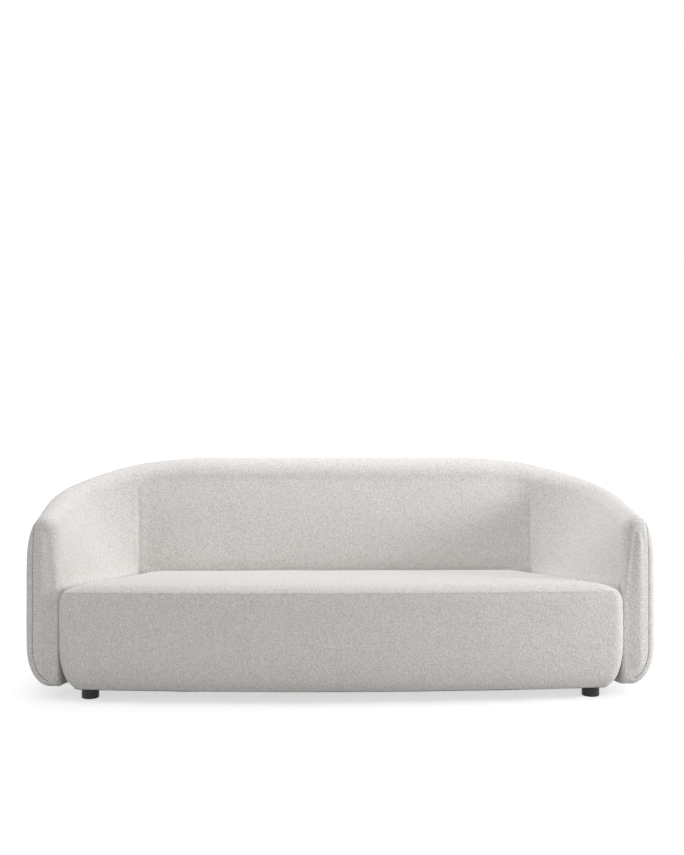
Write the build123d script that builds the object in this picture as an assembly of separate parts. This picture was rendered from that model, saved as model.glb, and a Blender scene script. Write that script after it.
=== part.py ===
from build123d import *
import math
import os

os.makedirs("parts", exist_ok=True)

# Overall sizes of the sofa, in mm. X is to the sitter's left, -Y is the front, the floor is Z = 0.
WIDTH = 2212.0
DEPTH = 960.0
BACK_HEIGHT = 785.0
ARM_HEIGHT = 626.0
SEAT_HEIGHT = 405.0
FOOT_HEIGHT = 42.0

# Plan of the shell: a straight back, two rear corners and two gently bowed arms.
CORNER_RADIUS = 480.0
SIDE_BOW_RADIUS = 2340.0
BACK_THICKNESS = 280.0
ARM_FRONT_THICKNESS = 126.0
CREASE_INSET = 339.0
CREASE_RADIUS = 50.0
ARM_FRONT_SETBACK = 135.0
NOSE_RADIUS = 48.0
NOSE_TURN = 72.0

# Section of the shell, at the middle of the back and at the front of an arm.
CREST_IN_BACK = 100.0
CREST_IN_ARM = 66.0
OUTER_TOP_RADIUS_BACK = 70.0
OUTER_TOP_RADIUS_ARM = 46.0
INNER_TOP_RADIUS_BACK = 90.0
INNER_TOP_RADIUS_ARM = 48.0
SHOULDER_BACK = 170.0
SHOULDER_ARM = 150.0
BOTTOM_RADIUS_BACK = 120.0
BOTTOM_RADIUS_ARM = 85.0
LEAN_FOOT_HEIGHT = 350.0
SLOPE_LEAD = 112.0
SLOPE_RUN = 1055.0

# Seat block.
SEAT_GAP = 3.0
SEAT_FRONT_RADIUS = 8500.0
SEAT_FRONT_CORNER = 46.0
SEAT_BACK_CORNER = 62.0
SEAT_TILT = 4.0
SEAT_EDGE_HEIGHT = 65.0
SEAT_EDGE_FRONT = 65.0
SEAT_EDGE_SIDE = 100.0
SEAT_EDGE_BACK = 34.0
SEAT_CROWN = 9.0

# Upholstery layers and the clearances between them.
COVER = 3.0
LAYER_GAP = 0.5
FRAME_FIT = 3.0
SEAM_INSET = 28.0
SEAM_HEIGHT = 55.0
DUST_COVER = 1.0

# Wooden frame.
RAIL = 22.0
RIB = 18.0
FOOT_PLATE = 25.0
FOAM_OUTSIDE = 30.0
FOAM_TOP = 45.0
FOAM_INSIDE_BACK = 60.0
FOAM_INSIDE_ARM = 38.0
TOP_FLAT = 20.0
SEAT_FOAM_FRONT = 48.0
SEAT_FOAM_SIDE = 58.0
SEAT_FOAM_BACK = 32.0
RAIL_TOP = 226.0
STRAP = 2.0
STRAP_WIDTH = 50.0

# Springs, feet and hardware.
SPRING_COUNT = 9
SPRING_WIRE = 3.6
SPRING_BARS = 18
SPRING_HALF_BAR = 14.0
FELT = 4.0
FOOT_DIAMETER = 60.0
FOOT_X = 864.0
FOOT_Y = -331.0
REAR_FOOT_X = 733.0
REAR_FOOT_Y = 316.0
STUD = 8.0
STUD_LENGTH = 46.0
STUD_IN_FOOT = 20.0
THREAD_FIT = 0.2
NUT_BARREL = 11.0
NUT_FLANGE = 20.0
PLATE = 3.0
PLATE_WIDTH = 40.0
SCREW = 5.0
SCREW_LENGTH = 26.0

HALF = WIDTH / 2
BACK_Y = DEPTH / 2
FRONT_Y = -DEPTH / 2
UNDERSIDE = FOOT_HEIGHT
FRAME_BOTTOM = UNDERSIDE + 0.5 + DUST_COVER
INNER_BACK_Y = BACK_Y - BACK_THICKNESS
CORNER_X = HALF - CORNER_RADIUS
CORNER_Y = BACK_Y - CORNER_RADIUS
ARM_FRONT_Y = FRONT_Y + ARM_FRONT_SETBACK
CREASE_X = HALF - CREASE_INSET


def mix(first, second, share):
    return first + (second - first) * share


def smooth(value):
    t = min(max(value, 0.0), 1.0)
    return t * t * (3 - 2 * t)


def side_x(y):
    """Outer face of the arm at depth y."""
    drop = y - CORNER_Y
    return HALF - SIDE_BOW_RADIUS + math.sqrt(SIDE_BOW_RADIUS**2 - drop**2)


# The straight inside face of the arm runs from the crease to the front of the arm.
ARM_INNER_FRONT_X = side_x(ARM_FRONT_Y) - ARM_FRONT_THICKNESS
ARM_ANGLE = math.atan2(ARM_INNER_FRONT_X - CREASE_X, INNER_BACK_Y - ARM_FRONT_Y)


def arm_inner_x(y):
    return CREASE_X + (INNER_BACK_Y - y) * math.tan(ARM_ANGLE)


class Station:
    """One upright cut through the shell, from the outside point to the inside point in plan."""

    def __init__(self, outer, inner, run):
        self.outer = Vector(outer[0], outer[1], 0)
        self.inner = Vector(inner[0], inner[1], 0)
        self.thick = (self.inner - self.outer).length
        self.inward = (self.inner - self.outer).normalized()
        self.turn = 0.0
        share = smooth((run + SLOPE_LEAD) / SLOPE_RUN)
        self.share = share
        self.height = mix(BACK_HEIGHT, ARM_HEIGHT, share)
        self.crest = mix(CREST_IN_BACK, CREST_IN_ARM, share)
        self.outer_top = mix(OUTER_TOP_RADIUS_BACK, OUTER_TOP_RADIUS_ARM, share)
        self.inner_top = mix(INNER_TOP_RADIUS_BACK, INNER_TOP_RADIUS_ARM, share)
        self.shoulder = mix(SHOULDER_BACK, SHOULDER_ARM, share)
        self.bottom = mix(BOTTOM_RADIUS_BACK, BOTTOM_RADIUS_ARM, share)
        self.foam_inside = mix(FOAM_INSIDE_BACK, FOAM_INSIDE_ARM, share)

    def point(self, u, z, forward=0.0):
        place = self.outer + self.inward * u
        return Vector(place.X, place.Y - forward, z)

    def mirrored(self):
        twin = Station.__new__(Station)
        twin.__dict__.update(self.__dict__)
        twin.outer = Vector(-self.outer.X, self.outer.Y, 0)
        twin.inner = Vector(-self.inner.X, self.inner.Y, 0)
        twin.inward = Vector(-self.inward.X, self.inward.Y, 0)
        return twin


def crease_points():
    """Points of the inside face from the start of a rear corner to the widest part of the arm."""
    half_angle = (math.pi / 2 + ARM_ANGLE) / 2
    reach = CREASE_RADIUS / math.tan(half_angle)
    arm_way = Vector(math.sin(ARM_ANGLE), -math.cos(ARM_ANGLE), 0)
    corner = Vector(CREASE_X, INNER_BACK_Y, 0)
    middle_way = (Vector(-1, 0, 0) + arm_way).normalized()
    centre = corner + middle_way * (CREASE_RADIUS / math.sin(half_angle))
    first = Vector(CORNER_X, INNER_BACK_Y, 0)
    start = corner + Vector(-reach, 0, 0)
    end = corner + arm_way * reach
    last = Vector(arm_inner_x(CORNER_Y), CORNER_Y, 0)
    points = [mix(first, start, share / 6) for share in range(1, 7)]
    for share in (1, 2, 3, 4, 5):
        way = (mix(start, end, share / 6) - centre).normalized()
        points.append(centre + way * CREASE_RADIUS)
    return points + [mix(end, last, share / 7) for share in range(8)]


def shell_stations():
    """Stations of the right half, from the end of the level back to the front of the arm."""
    stations = []
    for step in range(BACK_STEPS + 1):
        x = CORNER_X - SLOPE_LEAD * (1 - step / BACK_STEPS)
        stations.append(Station((x, BACK_Y), (x, INNER_BACK_Y), x - CORNER_X))
    points = crease_points()
    crest_radius = CORNER_RADIUS - 85
    for step, inner in enumerate(points, start=1):
        turn = math.pi / 2 * step / len(points)
        if step == CREASE_STEP:
            turn = math.pi / 4
        x = CORNER_X + CORNER_RADIUS * math.sin(turn)
        y = CORNER_Y + CORNER_RADIUS * math.cos(turn)
        stations.append(Station((x, y), (inner.X, inner.Y), crest_radius * turn))
    corner_run = crest_radius * math.pi / 2
    for share in (0.2, 0.4, 0.6, 0.8, 1.0):
        y = mix(CORNER_Y, ARM_FRONT_Y, share)
        stations.append(Station((side_x(y), y), (arm_inner_x(y), y), corner_run + CORNER_Y - y))
    return stations


# Steps between stations, and the step of the corner that stands on the crease.
BACK_STEPS = 3
CREASE_STEP = 9
RIGHT = shell_stations()
CREASE = BACK_STEPS + CREASE_STEP
FRONT_STATION = RIGHT[-1]
NOSE_STEPS = [NOSE_TURN * share / 5 for share in (1, 2, 3, 4, 5)]


def section(station, inset, open_floor):
    """Closed outline of the shell at a station, drawn in by inset all round."""
    s = station
    turn = math.radians(s.turn)
    reach = NOSE_RADIUS - inset
    deep = inset + reach * (1 - math.cos(turn))
    ahead = reach * math.sin(turn)
    a = s.crest
    z_top = s.height
    z_spring = z_top - s.shoulder
    b = s.shoulder
    r2 = s.outer_top
    big = (a * a + b * b - 2 * b * r2) / (2 * (a - r2))
    rb = s.bottom
    rt = s.inner_top

    def at(u, z):
        return s.point(u, z, ahead)

    def arc(cu, cz, radius, from_angle, to_angle):
        points = []
        for angle in (from_angle, (from_angle + to_angle) / 2, to_angle):
            points.append(at(cu + radius * math.cos(angle), cz + radius * math.sin(angle)))
        return Edge.make_three_point_arc(*points)

    # The two outer arcs meet on the line through their centres.
    meet = math.atan2(z_top - r2 - z_spring, a - big)
    # The lean line touches the inner top arc and passes the foot of the lean.
    du = s.thick - a
    dz = LEAN_FOOT_HEIGHT - (z_top - rt)
    lean = math.atan2(dz, du) + math.acos(rt / math.hypot(du, dz))
    foot_slide = deep * math.tan(lean / 2)
    foot = (s.thick - deep, LEAN_FOOT_HEIGHT - foot_slide)
    touch = (a + (rt - deep) * math.cos(lean), z_top - rt + (rt - deep) * math.sin(lean))
    base = UNDERSIDE + deep
    edges = []
    if open_floor is None:
        floor = base
    else:
        floor = open_floor
        edges.append(Edge.make_line(at(rb, floor), at(rb, base)))
    edges.append(arc(rb, UNDERSIDE + rb, rb - deep, math.radians(270), math.radians(180)))
    edges.append(Edge.make_line(at(deep, UNDERSIDE + rb), at(deep, z_spring)))
    edges.append(arc(big, z_spring, big - deep, math.pi, meet))
    edges.append(arc(a, z_top - r2, r2 - deep, meet, math.pi / 2))
    edges.append(arc(a, z_top - rt, rt - deep, math.pi / 2, lean))
    edges.append(Edge.make_line(at(*touch), at(*foot)))
    edges.append(Edge.make_line(at(*foot), at(s.thick - deep, floor)))
    edges.append(Edge.make_line(at(s.thick - deep, floor), at(rb, floor)))
    return Wire(edges)


def arm_stations():
    """Stations of the right half with those that round off the front of the arm."""
    noses = []
    for turn in NOSE_STEPS:
        nose = Station.__new__(Station)
        nose.__dict__.update(FRONT_STATION.__dict__)
        nose.turn = turn
        noses.append(nose)
    return RIGHT + noses


RIGHT_SIDE = arm_stations()
LEFT_SIDE = [station.mirrored() for station in RIGHT_SIDE]
BACK_RUN = LEFT_SIDE[CREASE::-1] + RIGHT_SIDE[: CREASE + 1]
ARM_RUN = RIGHT_SIDE[CREASE:]
# What is hollowed out runs one station past each end.
BACK_HOLLOW = LEFT_SIDE[CREASE + 1 :: -1] + RIGHT_SIDE[: CREASE + 2]
ARM_HOLLOW = RIGHT_SIDE[CREASE - 1 :]


def back_form(inset, open_floor=None):
    """The back as one soft solid from crease to crease, drawn in by inset."""
    run = BACK_RUN if open_floor is None else BACK_HOLLOW
    return Solid.make_loft([section(s, inset, open_floor) for s in run], ruled=True)


def arm_form(inset, open_floor=None):
    """The right arm as one soft solid from the crease to its rounded front."""
    run = ARM_RUN if open_floor is None else ARM_HOLLOW
    return Solid.make_loft([section(s, inset, open_floor) for s in run], ruled=True)


def slab(x0, x1, y0, y1, z0, z1):
    """Upright box between the given limits."""
    middle = ((x0 + x1) / 2, (y0 + y1) / 2, (z0 + z1) / 2)
    return Pos(*middle) * Box(x1 - x0, y1 - y0, z1 - z0)


def upright(face, z0, z1):
    return Pos(0, 0, z0) * extrude(face, z1 - z0, dir=(0, 0, 1))


def one(shape):
    """The single solid of a shape."""
    return shape.solids().sort_by(SortBy.VOLUME)[-1]


def flip(shape):
    return mirror(shape, about=Plane.YZ)


# Layers of the shell: the cover, with the foam inside it.
FOAM_OUT = COVER + LAYER_GAP
BELOW = UNDERSIDE - 6
back_cover = back_form(0.0) - back_form(COVER, BELOW)
arm_cover = arm_form(0.0) - arm_form(COVER, BELOW)


def seam_plan(inset):
    """Plan inside the seam line, open to the front of the sofa."""
    back = BACK_Y - inset
    reach = CORNER_RADIUS - inset
    bow = SIDE_BOW_RADIUS - inset
    bow_x = HALF - SIDE_BOW_RADIUS
    half_way = math.radians(45)
    drop = ARM_FRONT_Y - CORNER_Y
    points = [(CORNER_X + reach * math.sin(half_way), CORNER_Y + reach * math.cos(half_way))]
    points.append((CORNER_X + reach, CORNER_Y))
    points.append((bow_x + math.sqrt(bow**2 - (drop / 2) ** 2), CORNER_Y + drop / 2))
    points.append((bow_x + math.sqrt(bow**2 - drop**2), ARM_FRONT_Y))
    front = (points[3][0], FRONT_Y - 100)

    def side(sign):
        corner = [(sign * x, y) for x, y in points]
        start = (sign * CORNER_X, back)
        return [
            Edge.make_three_point_arc(start, corner[0], corner[1]),
            Edge.make_three_point_arc(corner[1], corner[2], corner[3]),
            Edge.make_line(corner[3], (sign * front[0], front[1])),
        ]

    edges = side(1) + side(-1)
    edges.append(Edge.make_line((-CORNER_X, back), (CORNER_X, back)))
    edges.append(Edge.make_line((-front[0], front[1]), front))
    return Face(Wire(edges))


SEAM_LEVEL = UNDERSIDE + SEAM_HEIGHT
inside_zone = upright(seam_plan(SEAM_INSET), SEAM_LEVEL, BACK_HEIGHT + 50)
inside_zone = inside_zone + upright(seam_plan(BOTTOM_RADIUS_ARM + 10), BELOW, SEAM_LEVEL)
pieces = {}
pieces["inside_back_cover"] = one(back_cover & inside_zone)
pieces["outside_back_cover"] = one(back_cover - inside_zone)
inside_arm = one(arm_cover & inside_zone)
outside_arm = one(arm_cover - inside_zone)
pieces["inside_arm_cover_right"] = inside_arm
pieces["inside_arm_cover_left"] = flip(inside_arm)
pieces["outside_arm_cover_right"] = outside_arm
pieces["outside_arm_cover_left"] = flip(outside_arm)

# Frame of the shell, drawn at fewer stations because its boards are straight between them.
CORNER_END = BACK_STEPS + len(crease_points())
FRAME_STEPS = (0, 3, 7, 10, CREASE, 15, 18, CORNER_END, CORNER_END + 3, len(RIGHT) - 1)
FRAME_RIGHT = [RIGHT[step] for step in FRAME_STEPS]
FRAME_LEFT = [s.mirrored() for s in FRAME_RIGHT]
FRAME_ALL = FRAME_LEFT[::-1] + FRAME_RIGHT
CREASE_PLACE = FRAME_STEPS.index(CREASE)
BACK_CAVITY = FRAME_LEFT[CREASE_PLACE + 1 :: -1] + FRAME_RIGHT[: CREASE_PLACE + 2]
ARM_CAVITY = FRAME_RIGHT[CREASE_PLACE - 1 :]
ARM_FRAME = FRAME_RIGHT[1:]
BACK_FRAME = FRAME_LEFT[1::-1] + FRAME_RIGHT[:2]
crease_station = RIGHT[CREASE]


def inner_u(s, e):
    return s.thick - s.foam_inside - e


def lean_top(s, e):
    return (s.crest + TOP_FLAT - 0.6 * e, s.height - FOAM_TOP - e)


def floor_at(s, u):
    """Lowest level of the frame over the turned-in edge of the cover, u in from the outer face."""
    if u > s.bottom:
        return FRAME_BOTTOM
    radius = s.bottom - COVER - 1.5
    return max(FRAME_BOTTOM, UNDERSIDE + s.bottom - math.sqrt(radius**2 - (s.bottom - u) ** 2))


def frame_points(s, e):
    """Corners of the frame's outline at a station, drawn in by e; the space for it has e = 0."""
    outer = FOAM_OUTSIDE + e
    top = lean_top(s, e)
    low = min(s.bottom + 1, inner_u(s, 0) - RAIL - 8) + e
    low_z = floor_at(s, low)
    inner_z = floor_at(s, inner_u(s, e))
    if e == 0:
        low_z = UNDERSIDE - 1
        inner_z = UNDERSIDE - 1
    return [
        (low, low_z),
        (outer, UNDERSIDE + 0.75 * s.bottom),
        (outer, s.height - s.shoulder),
        (s.crest - TOP_FLAT + 0.6 * e, top[1]),
        top,
        (inner_u(s, e), LEAN_FOOT_HEIGHT),
        (inner_u(s, e), inner_z),
    ]


def board(stations, corners):
    """Straight-sided solid through the stations; corners gives its outline at each."""
    outlines = []
    for s in stations:
        outlines.append(Wire.make_polygon([s.point(u, z) for u, z in corners(s)]))
    return Solid.make_loft(outlines, ruled=True)


def oblong(u0, u1, z0, z1):
    return [(u0, z0), (u1, z0), (u1, z1), (u0, z1)]


def top_rail(s, grow=0.0):
    u, z = lean_top(s, FRAME_FIT)
    width = TOP_FLAT - 0.6 * FRAME_FIT - 0.5 + grow
    return oblong(s.crest - width, s.crest + width, z - RAIL - 6 - grow, z - 0.5 + grow)


def seat_level_rail(s, grow=0.0):
    u = inner_u(s, FRAME_FIT) - 0.5
    return oblong(u - 26 - grow, u + grow, LEAN_FOOT_HEIGHT - 45 - grow, LEAN_FOOT_HEIGHT - 1 + grow)


def bottom_rail(s, grow=0.0):
    u = inner_u(s, FRAME_FIT) - 0.5
    low = floor_at(s, u - RAIL - 1)
    return oblong(u - RAIL - grow, u + grow, low - grow, FRAME_BOTTOM + 85 + grow)


NOTCH = 0.3
frame_space = board(FRAME_ALL, lambda s: frame_points(s, FRAME_FIT))
plate_space = board(FRAME_ALL, lambda s: frame_points(s, 1.0))
back_foam = back_form(FOAM_OUT) - board(BACK_CAVITY, lambda s: frame_points(s, 0.0))
arm_foam = one(arm_form(FOAM_OUT) - board(ARM_CAVITY, lambda s: frame_points(s, 0.0)))
pieces["back_foam"] = one(back_foam)
pieces["arm_foam_right"] = arm_foam
pieces["arm_foam_left"] = flip(arm_foam)

notches = []
for shape in (top_rail, bottom_rail):
    right = board(ARM_FRAME, lambda s: shape(s, NOTCH))
    notches += [right, flip(right), board(BACK_FRAME, lambda s: shape(s, NOTCH))]
notches.append(board(BACK_FRAME, lambda s: seat_level_rail(s, NOTCH)))
rear_plate_high = FRAME_BOTTOM + FOOT_PLATE


def foot_pocket(x, y, high):
    """Room over a foot plate for the tee nut."""
    return Pos(x, y, high + 6) * Cylinder(NUT_FLANGE / 2 + 3, 12)


def rear_plate_box(sign, grow=0.0):
    x = sign * REAR_FOOT_X
    y = REAR_FOOT_Y
    half = 75 + grow
    return slab(x - half, x + half, y - half, y + half, FRAME_BOTTOM - 1, rear_plate_high + grow)


for sign in (-1, 1):
    notches.append(rear_plate_box(sign, NOTCH))
    notches.append(foot_pocket(sign * REAR_FOOT_X, REAR_FOOT_Y, rear_plate_high))


def notched(rib, holes=()):
    for tool in notches:
        rib = rib - tool
    for hole in holes:
        rib = rib - hole
    return one(rib)


back_half = FRAME_RIGHT[0].outer.X
rib_middle = BACK_Y - (FOAM_OUTSIDE + inner_u(RIGHT[0], 0)) / 2
for number in range(5):
    x = mix(-back_half + RIB, back_half - RIB, number / 4)
    plate = slab(x - RIB / 2, x + RIB / 2, 0, BACK_Y, 0, BACK_HEIGHT)
    holes = []
    for z in (UNDERSIDE + 170, UNDERSIDE + 420):
        holes.append(Pos(x, rib_middle + (z - UNDERSIDE) * 0.08, z) * (Rot(0, 90, 0) * Cylinder(38, 40)))
    pieces[f"back_rib_{number + 1}"] = notched(frame_space & plate, holes)


def rib_plate(s):
    """Slab of a rib's thickness that stands on a station."""
    middle = s.point(s.thick / 2, BACK_HEIGHT / 2)
    place = Plane(origin=middle, x_dir=s.inward, z_dir=(0, 0, 1))
    return place.location * Box(s.thick + 40, RIB, BACK_HEIGHT)


corner_rib = notched(frame_space & rib_plate(crease_station))
rear_arm_station = ARM_FRAME[-3]
arm_rear_rib = notched(frame_space & rib_plate(rear_arm_station))
front_plate = slab(0, HALF, ARM_FRONT_Y, ARM_FRONT_Y + RIB, 0, BACK_HEIGHT)
arm_front_rib = notched(frame_space & front_plate)
for name, rib in (("corner_rib", corner_rib), ("arm_rear_rib", arm_rear_rib), ("arm_front_rib", arm_front_rib)):
    pieces[name + "_right"] = rib
    pieces[name + "_left"] = flip(rib)

rear_cut = [rear_plate_box(sign, NOTCH) for sign in (-1, 1)]
rear_cut += [foot_pocket(sign * REAR_FOOT_X, REAR_FOOT_Y, rear_plate_high) for sign in (-1, 1)]


def cut(shape, tools):
    for tool in tools:
        shape = shape - tool
    return shape


pieces["back_top_rail"] = board(BACK_FRAME, top_rail)
pieces["back_seat_rail"] = board(BACK_FRAME, seat_level_rail)
back_bottom_rail = cut(board(BACK_FRAME, bottom_rail), rear_cut)
arm_top_rail = board(ARM_FRAME, top_rail)
arm_bottom_rail = cut(board(ARM_FRAME, bottom_rail), rear_cut)
pieces["arm_top_rail_right"] = arm_top_rail
pieces["arm_top_rail_left"] = flip(arm_top_rail)


# Webbing on the back and liner boards in the arms lie between the frame and the foam.
def lining(s, low):
    near = LAYER_GAP
    far = LAYER_GAP + STRAP
    return [
        (inner_u(s, far), low),
        (inner_u(s, near), low),
        (inner_u(s, near), LEAN_FOOT_HEIGHT),
        lean_top(s, near),
        lean_top(s, far),
        (inner_u(s, far), LEAN_FOOT_HEIGHT),
    ]


straps = []
for x in (-465, -350, -190, -75, 75, 190, 350, 465):
    ends = []
    for edge in (x - STRAP_WIDTH / 2, x + STRAP_WIDTH / 2):
        points = [(edge, BACK_Y - u, z) for u, z in lining(RIGHT[0], LEAN_FOOT_HEIGHT - 38)]
        ends.append(Wire.make_polygon(points))
    straps.append(Solid.make_loft(ends, ruled=True))
pieces["back_webbing"] = Compound(straps)
arm_liner = board(ARM_FRAME, lambda s: lining(s, UNDERSIDE + 90))
pieces["arm_liner_right"] = arm_liner
pieces["arm_liner_left"] = flip(arm_liner)


# Seat block: outlines stacked from the underside to the crown, tipped back a little more each time.
ARM_NORMAL = Vector(math.cos(ARM_ANGLE), math.sin(ARM_ANGLE), 0)
ARM_WAY = Vector(math.sin(ARM_ANGLE), -math.cos(ARM_ANGLE), 0)
SIDE_REACH = ARM_NORMAL.dot(Vector(CREASE_X, INNER_BACK_Y, 0)) - SEAT_GAP
SEAT_BACK_Y = INNER_BACK_Y - SEAT_GAP
BOW_Y = FRONT_Y + SEAT_FRONT_RADIUS


def seat_outline(front, side, back, front_corner, back_corner, place=None):
    """Outline of the seat in plan, drawn in from the front, the sides and the back."""
    bow = SEAT_FRONT_RADIUS - front
    bow_centre = Vector(0, BOW_Y, 0)
    base = ARM_NORMAL * (SIDE_REACH - side - front_corner)
    near = base - bow_centre
    half = near.dot(ARM_WAY)
    reach = bow - front_corner
    slide = -half + math.sqrt(half**2 - near.dot(near) + reach**2)
    hub = base + ARM_WAY * slide
    on_bow = bow_centre + (hub - bow_centre) * (bow / reach)
    on_side = hub + ARM_NORMAL * front_corner
    between = hub + ((on_bow - hub) + (on_side - hub)).normalized() * front_corner
    back_line = SEAT_BACK_Y - back
    hub_y = back_line - back_corner
    hub_x = (SIDE_REACH - side - back_corner - ARM_NORMAL.Y * hub_y) / ARM_NORMAL.X
    rear_hub = Vector(hub_x, hub_y, 0)
    rear_side = rear_hub + ARM_NORMAL * back_corner
    rear_back = Vector(hub_x, back_line, 0)
    rear_between = rear_hub + ((rear_side - rear_hub) + (rear_back - rear_hub)).normalized() * back_corner

    def put(point, sign=1):
        x = sign * point.X
        return place(x, point.Y) if place else Vector(x, point.Y, 0)

    middle = Vector(0, FRONT_Y + front, 0)
    edges = [
        Edge.make_three_point_arc(put(on_bow, -1), put(middle), put(on_bow)),
        Edge.make_three_point_arc(put(on_bow), put(between), put(on_side)),
        Edge.make_line(put(on_side), put(rear_side)),
        Edge.make_three_point_arc(put(rear_side), put(rear_between), put(rear_back)),
        Edge.make_line(put(rear_back), put(rear_back, -1)),
        Edge.make_three_point_arc(put(rear_back, -1), put(rear_between, -1), put(rear_side, -1)),
        Edge.make_line(put(rear_side, -1), put(on_side, -1)),
        Edge.make_three_point_arc(put(on_side, -1), put(between, -1), put(on_bow, -1)),
    ]
    return Wire(edges)


# No corner of the seat's outlines is tighter than this before it is drawn in.
LEAST_CORNER = 40.0


def seat_level(height, front, side, back, inset):
    """One outline of the seat block, on a plane tipped about the front edge."""
    tip = math.radians(SEAT_TILT) * (height - UNDERSIDE) / (SEAT_HEIGHT - UNDERSIDE)
    tip = max(tip, 0.0)

    def place(x, y):
        run = y - FRONT_Y
        return Vector(x, FRONT_Y + run * math.cos(tip), height - run * math.sin(tip))

    front_corner = max(SEAT_FRONT_CORNER - 0.6 * front, LEAST_CORNER) - inset
    back_corner = max(SEAT_BACK_CORNER - 0.5 * back, LEAST_CORNER) - inset
    return seat_outline(front + inset, side + inset, back + inset, front_corner, back_corner, place)


# Height over the underside, then how far the front, the sides and the back are drawn in.
SEAT_SIDES = (
    (0, 26, 36, 10),
    (12, 20, 29, 8),
    (28, 14, 21, 5),
    (50, 8, 13, 3),
    (80, 3.5, 6.5, 1),
    (120, 1, 2, 0),
    (170, 0, 0, 0),
)


def seat_form(inset, floor=None):
    """The seat block as one soft solid, drawn in by inset."""
    levels = []
    if floor is not None:
        levels.append(seat_level(floor, *SEAT_SIDES[0][1:], inset))
    for rise, front, side, back in SEAT_SIDES:
        levels.append(seat_level(UNDERSIDE + rise, front, side, back, inset))
    shoulder = SEAT_HEIGHT - SEAT_EDGE_HEIGHT
    levels.append(seat_level(shoulder, 0, 0, 0, inset))
    round_up = SEAT_EDGE_HEIGHT - inset
    for angle in (12, 24, 36, 48, 60, 70, 80, 90):
        turn = math.radians(angle)
        height = shoulder + round_up * math.sin(turn)
        shares = []
        for edge in (SEAT_EDGE_FRONT, SEAT_EDGE_SIDE, SEAT_EDGE_BACK):
            shares.append((edge - inset) * (1 - math.cos(turn)))
        levels.append(seat_level(height, *shares, inset))
    for draw, rise in ((40, 0.33), (85, 0.62), (140, 0.86), (200, 1.0)):
        height = SEAT_HEIGHT - inset + SEAT_CROWN * rise
        edges = [edge - inset + draw for edge in (SEAT_EDGE_FRONT, SEAT_EDGE_SIDE, SEAT_EDGE_BACK)]
        levels.append(seat_level(height, *edges, inset))
    return Solid.make_loft(levels, ruled=True)


FAR = 3000.0


def above(z):
    return slab(-FAR, FAR, -FAR, FAR, z, FAR)


SPRING_Z = RAIL_TOP + 4
FELT_LOW = SPRING_Z + SPRING_WIRE
FOAM_LOW = FELT_LOW + FELT + LAYER_GAP
pieces["seat_cover"] = one(seat_form(0.0) - seat_form(COVER, BELOW))
seat_foam = seat_form(FOAM_OUT)
pieces["seat_foam_core"] = one(seat_foam & above(FOAM_LOW))
frame_room = Face(seat_outline(
    SEAT_FOAM_FRONT - LAYER_GAP, SEAT_FOAM_SIDE - LAYER_GAP, SEAT_FOAM_BACK - LAYER_GAP, 42, 30))
border = (seat_foam & slab(-FAR, FAR, -FAR, FAR, FRAME_BOTTOM, FOAM_LOW - LAYER_GAP))
pieces["seat_border_foam"] = one(border - upright(frame_room, 0, FAR))
pieces["seat_insulator_felt"] = upright(
    Face(seat_outline(SEAT_FOAM_FRONT, SEAT_FOAM_SIDE, SEAT_FOAM_BACK, 41.5, 29.5)), FELT_LOW, FELT_LOW + FELT)

# Seat frame: a ring of four rails with cross rails, corner blocks and foot plates.
ring = upright(
    Face(seat_outline(SEAT_FOAM_FRONT, SEAT_FOAM_SIDE, SEAT_FOAM_BACK, 41.5, 29.5)), FRAME_BOTTOM, RAIL_TOP)
inside_front = SEAT_FOAM_FRONT + RAIL
inside_side = SEAT_FOAM_SIDE + RAIL
inside_back = SEAT_FOAM_BACK + RAIL


def inside_prism(grow, z0, z1):
    outline = seat_outline(inside_front + grow, inside_side + grow, inside_back + grow, 2, 2)
    return upright(Face(outline), z0, z1)


ring = ring - inside_prism(0, 0, FAR)


def bow_y(x, inset):
    return BOW_Y - math.sqrt((SEAT_FRONT_RADIUS - inset) ** 2 - x**2)


zone = Wire([
    Edge.make_three_point_arc(
        (-HALF, bow_y(HALF, inside_front)), (0, FRONT_Y + inside_front), (HALF, bow_y(HALF, inside_front))),
    Edge.make_line((HALF, bow_y(HALF, inside_front)), (HALF, FRONT_Y - 50)),
    Edge.make_line((HALF, FRONT_Y - 50), (-HALF, FRONT_Y - 50)),
    Edge.make_line((-HALF, FRONT_Y - 50), (-HALF, bow_y(HALF, inside_front))),
])
front_zone = upright(Face(zone), 0, FAR)
back_zone = slab(-FAR, FAR, SEAT_BACK_Y - inside_back, FAR, 0, FAR)
foot_high = FRAME_BOTTOM + FOOT_PLATE


def front_plate_box(sign, grow=0.0):
    x = sign * FOOT_X
    return slab(
        x - 80 - grow, x + 80 + grow, FOOT_Y - 110, FOOT_Y + 70 + grow, FRAME_BOTTOM - 1, foot_high + grow)


front_cut = [front_plate_box(sign, NOTCH) for sign in (-1, 1)]
front_cut += [foot_pocket(sign * FOOT_X, FOOT_Y, foot_high) for sign in (-1, 1)]
seat_front_rail = cut(ring & front_zone, front_cut)
seat_back_rail = ring & back_zone
seat_sides = cut(ring - front_zone - back_zone, front_cut)
left_side, right_side = seat_sides.solids().sort_by(Axis.X)
cross_rails = {}
for name, x in (("left", -430), ("middle", 0), ("right", 430)):
    rail = slab(x - RAIL / 2, x + RAIL / 2, -FAR, FAR, FRAME_BOTTOM, FRAME_BOTTOM + 95)
    cross_rails[name] = one(rail & inside_prism(0, 0, FAR))
blocks = []
block_space = inside_prism(0.3, foot_high + 30, RAIL_TOP - 20)
front_corner = (arm_inner_x(FRONT_Y + 60) - inside_side - 12, bow_y(HALF * 0.77, inside_front))
rear_corner = (arm_inner_x(SEAT_BACK_Y) - inside_side - 20, SEAT_BACK_Y - inside_back)
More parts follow.
